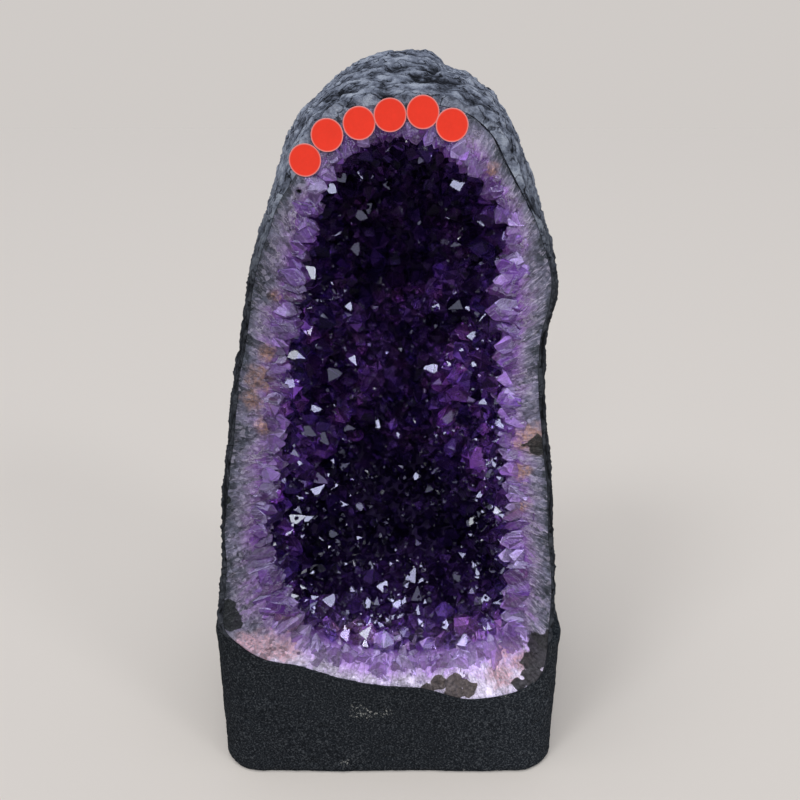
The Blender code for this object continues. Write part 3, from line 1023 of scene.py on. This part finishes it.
clear_amethyst, tree, shader = new_material(
    "clear_amethyst",
    Roughness=0.035,
    IOR=1.544,
    Transmission_Weight=0.74,
    Specular_IOR_Level=0.5,
)
NOTES = ("tip", "glow", "pale", "red", "shade")
tip, glow, paleness, red, shade = (attribute(tree, name) for name in NOTES)
dark = mixed(tree, tip, AMETHYST_ROOT, AMETHYST_TIP)
glowing = mixed(tree, tip, GLOWING_ROOT, GLOWING_TIP)
pale = mixed(tree, tip, PALE_ROOT, PALE_TIP)
wisps, _ = stone_grain(tree, place_on(tree), 300.0)
colour = mixed(tree, paleness, mixed(tree, glow, dark, glowing), pale)
colour = shaded(tree, colour, times(tree, total(tree, 0.2, (wisps, 1.6)), shade, inner_light(tree)))
colour = mixed(tree, red, colour, shaded(tree, colour, REDDISH))
tree.links.new(colour, shader.inputs["Base Color"])
absorb(tree, *CLEAR_ABSORBS)

rng = np.random.default_rng(5)
wall_start = 1 + CRUST_AROUND * (BACK_ROWS + BAND_ROWS)
wall_faces = np.array([face for face in faces if len(face) == 4 and min(face) >= wall_start])
quads = corners[wall_faces]
areas = np.linalg.norm(
    np.cross(quads[:, 2] - quads[:, 0], quads[:, 3] - quads[:, 1]), axis=1
)
chance = areas / areas.sum()
seats, radii = np.zeros((0, 3)), np.zeros(0)
for widest, narrowest, tries in CRYSTAL_SIZES:
    picks = rng.choice(len(quads), tries, p=chance)
    for quad, slide in zip(quads[picks], rng.uniform(0, 1, (tries, 2))):
        low = quad[0] + (quad[1] - quad[0]) * slide[0]
        high = quad[3] + (quad[2] - quad[3]) * slide[0]
        seat = low + (high - low) * slide[1]
        radius = rng.uniform(narrowest, widest)
        if len(seats) and (
            np.linalg.norm(seats - seat, axis=1) < CRYSTAL_SPACING * (radii + radius)
        ).any():
            continue
        seats = np.vstack([seats, seat])
        radii = np.append(radii, radius)

druse = Druse(seed=21)
inward = -hollow_form.outward(seats)
low_down = 1 - smooth_step(*LOW_DOWN, seats[:, 2])
behind_cut = seats[:, 1] - CUT_Y
pales = low_down * (1 - smooth_step(*PALE_BEHIND_CUT, behind_cut)) * 0.8
pales += 0.10 * (1 - smooth_step(*PALE_AT_CUT, behind_cut))
patches = smooth_step(-0.20, 0.45, noise_at(seats, GLOW_PATCHES))
at_middle = np.exp(-(((seats[:, 2] - GLOW_HEIGHT) / GLOW_SPREAD) ** 2))
glows = 2.2 * patches * (0.10 + 0.90 * at_middle) + 0.45 * low_down
# Painted shade deep in the lower hollow: these crystals are coloured darker, and also less red.
deep = smooth_step(*SHADE_DEEP_IN, behind_cut) * (1 - smooth_step(*SHADE_UP_TO, seats[:, 2]))
shades = 1 - 0.62 * deep
reds = 1 - 0.7 * deep
for seat, radius, normal, *local in zip(seats, radii, inward, glows, pales, reds, shades):
    axis = unit(normal + rng.uniform(-1, 1, 3) * CRYSTAL_LEAN)
    length = radius * rng.uniform(*(BIG_LENGTH if radius > BIG_CRYSTAL else CRYSTAL_LENGTH))
    shares = rng.uniform(LEAST_SHARES, GREATEST_SHARES)
    look = np.array(local) * shares ** (1, 1, 1.5, 1)
    look[:2] = np.minimum(look[:2], 1)
    druse.grow(seat, axis, radius, length, ROOT_DEPTH * radius, *WALL_SAW, *look)
    for _ in range(int(rng.integers(0, 4)) if radius > BUDS_FROM else 0):
        lean = unit(np.cross(axis, rng.normal(0, 1, 3)))
        bud = seat + axis * length * rng.uniform(0.15, 0.75) + lean * radius * 0.72
        size = rng.uniform(*OFFSHOOT_SIZE)
        way = lean + axis * rng.uniform(0.2, 1.6)
        druse.grow(bud, way, size, size * rng.uniform(1.0, 2.2), size, *WALL_SAW, *look)
druse.finish("amethyst_crystals", clear_amethyst, NOTES)


# Rim crystals: the stout crystals at the saw cut, with their points towards the hollow. The saw
# sliced the front ones open, and the rest stand close behind.
RIM_ROOT = (0.52, 0.90)  # share of the way across the band
# Nearest and furthest seat behind the cut, how many, and the least and greatest radius
RIM_LAYERS = (
    (-0.0010, 0.0018, 150, 0.0024, 0.0048),
    (0.0025, 0.0070, 150, 0.0030, 0.0055),
    (0.0070, 0.0150, 140, 0.0034, 0.0062),
)
RIM_BEYOND = (-0.0015, 0.0042)  # from the hollow's edge to the point
RIM_LEAN = (0.42, 0.40, 0.42)
SAW_DEPTH = (0.0006, 0.0024)
SAW_TILT = 0.16
# Each crystal's own chance to colour
RIM_TONES = (
    (0.00, (0.450, 0.400, 0.660)),
    (0.22, (0.360, 0.235, 0.560)),
    (0.44, (0.220, 0.085, 0.430)),
    (0.66, (0.075, 0.015, 0.210)),
    (1.00, (0.070, 0.012, 0.085)),
)
# Pale lilac of the painted sheen on faces seen edge-on
RIM_EDGE_SHEEN = (0.520, 0.450, 0.740)
RIM_BASE = 0.004  # how deep they are rooted
RIM_OWN = 0.58  # share of their own colour over that of the quartz
MILKY_ABSORBS = ((0.50, 0.26, 0.80), 45.0)  # colour and density

milky_amethyst, tree, shader = new_material(
    "milky_amethyst", Roughness=0.12, IOR=1.544, Transmission_Weight=0.25
)
mottled, raised = mottled_quartz(tree)
own = tones(tree, attribute(tree, "shade"), RIM_TONES)
# Painted sheen: faces seen edge-on are mixed towards a pale lilac.
sheen_facing = add_node(tree, "ShaderNodeLayerWeight", {"Blend": 0.5}).outputs["Facing"]
own = mixed(tree, remap(tree, sheen_facing, 0.55, 0.95, 0.0, 0.6), own, RIM_EDGE_SHEEN)
wisps, _ = stone_grain(tree, place_on(tree), 420.0)
to_right = remap(tree, split(tree, place_on(tree))["X"], -0.06, 0.06, 0.60, 1.15)
wispy = times(tree, total(tree, -0.2, (wisps, 2.4)), inner_light(tree), to_right)
colour = mixed(tree, RIM_OWN, mottled, shaded(tree, own, wispy))
tree.links.new(colour, shader.inputs["Base Color"])
roughen(tree, shader, raised, 0.0006, 0.7)
absorb(tree, *MILKY_ABSORBS)

rim = Druse(seed=8)
stride = np.linalg.norm(inner_rim - np.roll(inner_rim, -1, axis=0), axis=1)
along = np.cumsum(stride)
rim_normal = unit(hollow_form.outward(inner_rim) * (1, 0, 1))
for nearest, furthest, number, least, greatest in RIM_LAYERS:
    for i in range(number):
        spot = (i + rng.uniform(-0.45, 0.45)) / number * along[-1]
        k = int(np.searchsorted(along, spot % along[-1])) % CRUST_AROUND
        outer, inner = outer_rim[k], inner_rim[k]
        share = rng.uniform(*RIM_ROOT)
        seat = outer + (inner - outer) * share + (0, rng.uniform(nearest, furthest), 0)
        axis = -rim_normal[k] + rng.uniform(-1, 1, 3) * RIM_LEAN
        radius = rng.uniform(least, greatest)
        length = np.linalg.norm(inner - outer) * (1 - share) + rng.uniform(*RIM_BEYOND)
        length = max(length, 0.8 * radius)
        depth = rng.uniform(*SAW_DEPTH)
        rim.grow(seat, axis, radius, length, RIM_BASE, depth, SAW_TILT, rng.uniform(0, 1))
rim_piece, corners = rim.finish("rim_crystals", milky_amethyst, ("tip", "shade"))
store_quartz(rim_piece, corners, np.clip(band_place(corners)[0], 0, 0.72))


# Foot: a block of dark cement cast round the lower end of the geode so that it stands upright.
# Its faces are rough from the mould and scuffed pale at the front.
FOOT_WIDTH = 0.202
FOOT_DEPTH = 0.154
FOOT_HEIGHT = 0.093
FOOT_CORNER = 0.024
FOOT_EDGE = 0.0035
FOOT_FLARE = 0.012  # how much further the right side reaches at the top, as a share
FOOT_SLOPE = 0.20  # how much higher the left end is, as a share of the height for each metre
FOOT_AROUND = 480
FOOT_ROWS = 62
UNDERSIDE_SHARES = (0.05, 0.3, 0.6, 0.9)  # of the way from its middle to its edge
TOP_SHARES = np.linspace(0.985, 0.30, 46)  # and the same on the top, from the edge inwards
FOOT_LIP = 0.0010  # how far the top edge stands out
# Size and height of the waves and the grit of the cast
CAST_WAVES = ((0.045, 0.0007), (0.009, 0.00035), (0.0028, 0.00022), (0.0015, 0.00025))
PIT_SIZE = 0.0045
PIT_DEPTH = 0.0009
FOOT_COVER = 0.0009  # the cement lies over the sawn face's lower edge by this much
SEAT_FACES = (120, 80)  # around and up
SEAT_INSET = 0.0016  # how far the geode's seat is inside the rock's even form
SEAT_RISE = 0.0085  # how much further up the cement covers the sawn face, left of the middle
SCUFFS = (
    (-0.0175, 0.0452, 0.0065), (-0.0105, 0.0430, 0.0060), (-0.0010, 0.0440, 0.0045),
    (-0.0259, 0.0085, 0.0042),
    (0.0456, 0.0020, 0.0015), (0.0700, 0.0560, 0.0020), (0.0790, 0.0600, 0.0016),
)
# Speckle to colour
CEMENT_TONES = (
    (0.36, (0.003, 0.004, 0.006)),
    (0.52, (0.013, 0.016, 0.021)),
    (0.66, (0.085, 0.092, 0.100)),
)
SCUFF_COLOUR = (0.42, 0.42, 0.39)


def rounded_ring(inset):
    """Points and outward directions evenly along a rectangle with round corners."""
    half_x, half_y = FOOT_WIDTH / 2 - FOOT_CORNER, FOOT_DEPTH / 2 - FOOT_CORNER
    arc = FOOT_CORNER * math.pi / 2
    marks = np.cumsum([0, arc, 2 * half_y, arc, 2 * half_x, arc, 2 * half_y, arc, 2 * half_x])
    spot = np.arange(FOOT_AROUND) / FOOT_AROUND * marks[-1]
    # On an arc the direction turns, and on a straight its centre slides to the next corner.
    turned = np.interp(spot, marks, np.radians((-90, 0, 0, 90, 90, 180, 180, 270, 270)))
    centre_x = np.interp(spot, marks, (1, 1, 1, 1, -1, -1, -1, -1, 1)) * half_x
    centre_y = np.interp(spot, marks, (-1, -1, 1, 1, 1, 1, -1, -1, -1)) * half_y
    outward = np.stack([np.cos(turned), np.sin(turned)], axis=-1)
    return np.stack([centre_x, centre_y], axis=-1) + (FOOT_CORNER - inset) * outward, outward


def foot_rings():
    """Rings from the middle of the underside to the middle of the top, and their push ways."""
    bends = np.arange(4) * math.pi / 8
    edge = list(zip(FOOT_EDGE * (1 - np.cos(bends)), FOOT_EDGE * (1 - np.sin(bends))))
    climb = np.linspace(FOOT_EDGE, FOOT_HEIGHT - FOOT_EDGE, FOOT_ROWS + 1)
    profile = [*edge, *((z, 0.0) for z in climb)]
    profile += [(FOOT_HEIGHT - z, inset) for z, inset in reversed(edge)]
    rings, pushes = [], []

    def add_ring(points, z, push):
        rings.append(np.column_stack([points, np.full(len(points), z)]))
        pushes.append(np.broadcast_to(push, (len(points), 3)))

    middle = np.zeros((1, 2))
    edge_points, _ = rounded_ring(FOOT_EDGE)
    add_ring(middle, 0, (0, 0, 0))
    for share in UNDERSIDE_SHARES:
        add_ring(edge_points * share, 0, (0, 0, 0))
    for z, inset in profile:
        points, outward = rounded_ring(inset)
        lift = inset / FOOT_EDGE if z > FOOT_HEIGHT / 2 else 0.0
        add_ring(points, z, np.column_stack([outward, np.full(FOOT_AROUND, lift)]))
    for share in TOP_SHARES:
        add_ring(edge_points * share, FOOT_HEIGHT, (0, 0, 1))
    add_ring(middle, FOOT_HEIGHT, (0, 0, 0))
    return rings, np.concatenate(pushes)


def egg_skin(form, around, up):
    """Corners, faces and outward directions all over the form, in even rows."""
    angles = np.linspace(0, math.pi, up + 1)
    turn = np.linspace(-math.pi, math.pi, around, endpoint=False)
    rings = [form.point(np.array([0.0]), np.array([0.0]))]
    rings += [form.point(np.full(around, angle), turn) for angle in angles[1:-1]]
    rings.append(form.point(np.array([math.pi]), np.array([0.0])))
    corners, faces = capped_rings(rings)
    outward = form.outward(corners)
    outward[0], outward[-1] = (0, 0, -1), (0, 0, 1)
    return corners, faces, outward


rings, pushes = foot_rings()
corners, faces = capped_rings(rings)
share = corners[:, 2] / FOOT_HEIGHT
corners[:, 0] *= 1 + FOOT_FLARE * share * (corners[:, 0] > 0)
corners[:, 2] *= 1 - FOOT_SLOPE * corners[:, 0]
unevenness = sum(height * noise_at(corners, size) for size, height in CAST_WAVES)
unevenness -= PIT_DEPTH * smooth_step(0.42, 0.62, noise_at(corners + 0.4, PIT_SIZE))
lip = FOOT_LIP * smooth_step(0.84, 0.95, share) * (0.6 + 0.8 * noise_at(corners, 0.02))
corners += pushes * (unevenness + lip * (pushes[:, 2] < 0.5))[:, None]
corners[:, 1] -= FOOT_COVER * (corners[:, 1] < -0.03)
corners[:, 2] = np.maximum(corners[:, 2], 0)
foot = mesh_object("cement_foot_cast", corners, faces, [], smooth=True)

seat_corners, seat_faces, outward = egg_skin(rind_form, *SEAT_FACES)
inset = SEAT_INSET * (1 - smooth_step(0.080, 0.092, seat_corners[:, 2]))
seat_corners -= outward * inset[:, None]
left_of_middle = smooth_step(-0.080, -0.045, seat_corners[:, 0])
left_of_middle *= 1 - smooth_step(0.015, 0.050, seat_corners[:, 0])
rising = 1 - smooth_step(0.070, 0.098, seat_corners[:, 2])
seat_corners[:, 2] += SEAT_RISE * left_of_middle * rising
seat_form = mesh_object("seat_form", seat_corners, seat_faces, [])
cut = foot.modifiers.new("seat_geode", "BOOLEAN")
cut.operation = "DIFFERENCE"
cut.object = seat_form
bpy.context.view_layer.update()
carved = bpy.data.meshes.new_from_object(foot.evaluated_get(bpy.context.evaluated_depsgraph_get()))
foot.modifiers.clear()
foot.data = carved
bpy.data.objects.remove(seat_form)
points = np.array([corner.co for corner in carved.vertices])
store(foot, "scuff", spots_at(points, SCUFFS) * (points[:, 1] < CUT_Y + 0.004))

cement, tree, shader = new_material("dark_cement", Roughness=0.85, Specular_IOR_Level=0.22)
place = place_on(tree)
speckle, grit = stone_grain(tree, place, 900.0)
crumbs, _ = stone_grain(tree, place, 540.0)
scuffed = attribute(tree, "scuff")
dusty = remap(tree, total(tree, crumbs, (scuffed, 0.09)), 0.64, 0.70)
base = mixed(tree, times(tree, scuffed, dusty), tones(tree, speckle, CEMENT_TONES), SCUFF_COLOUR)
base = shaded(tree, base, remap(tree, split(tree, place)["X"], 0.03, 0.10, 1.0, 1.5))
tree.links.new(base, shader.inputs["Base Color"])
roughen(tree, shader, maths(tree, "ADD", speckle, grit), 0.0006, 0.8)
foot.data.materials.clear()
foot.data.materials.append(cement)
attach(foot, "root")
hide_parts("cement_foot")


# Red labels: six plain round stickers of glossy paper along the top of the sawn rim, each a little
# over or under its neighbour.
# Their pale rim is partly the cut paper's edge showing and partly a painted highlight on the face.
LABEL_RADIUS = 0.0076
LABEL_THICKNESS = 0.0002
LABEL_GAP = 0.00015
LABEL_CURL = 0.00030
LABEL_SIDES = 64
LABEL_CENTRES = (
    (-0.0374, 0.3592),
    (-0.0267, 0.3705),
    (-0.0117, 0.3758),
    (0.0027, 0.3794),
    (0.0179, 0.3807),
    (0.0315, 0.3750),
)
LABEL_RINGS = (0.35, 0.7, 0.9, 0.955, 0.985, 1.0)  # shares of the radius
LABEL_RED = (0.940, 0.042, 0.016)
# Colour of the pale rim: the cut paper's edge and a painted highlight
LABEL_EDGE_AND_HIGHLIGHT = (0.860, 0.330, 0.300)

label_paper, tree, shader = new_material(
    "red_label_paper", Roughness=0.40, Specular_IOR_Level=0.35
)
smudges, _ = stone_grain(tree, place_on(tree), 240.0)
red = shaded(tree, LABEL_RED, remap(tree, smudges, 0.2, 0.8, 0.93, 1.06))
# Pale rim: the cut paper's edge, and on the face a painted highlight.
paper = mixed(tree, attribute(tree, "cut_edge_and_highlight"), red, LABEL_EDGE_AND_HIGHLIGHT)
tree.links.new(paper, shader.inputs["Base Color"])

turn = np.linspace(0, 2 * math.pi, LABEL_SIDES, endpoint=False)
disc = np.stack([np.cos(turn), np.zeros_like(turn), np.sin(turn)], axis=-1) * LABEL_RADIUS
for number, (x, z) in enumerate(LABEL_CENTRES):
    rings = [np.zeros((1, 3))]
    for depth, shares in ((0.0, LABEL_RINGS), (LABEL_THICKNESS, reversed(LABEL_RINGS))):
        for share in shares:
            curl = LABEL_CURL * share**3 * (0.5 + 0.5 * np.sin(turn + 1.9 * number))
            rings.append(disc * share + np.outer(depth - curl, (0, 1, 0)))
    rings.append(np.array(((0, LABEL_THICKNESS, 0),)))
    corners, faces = capped_rings(rings)
    lift = LABEL_GAP + (LABEL_THICKNESS + LABEL_GAP) * (number % 2) + LABEL_THICKNESS
    label = mesh_object(
        f"red_label_{number + 1}", corners + (x, CUT_Y - lift, z), faces, [label_paper], smooth=True
    )
    far = np.linalg.norm(corners * (1, 0, 1), axis=1) / LABEL_RADIUS
    store(label, "cut_edge_and_highlight", smooth_step(0.93, 0.98, far))
    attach(label, "root")
    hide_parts(f"sticker_{number + 1}")


size = {"cad": [list(corner) for corner in cad_box]}
size["visual"] = [list(corner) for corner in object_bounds()]
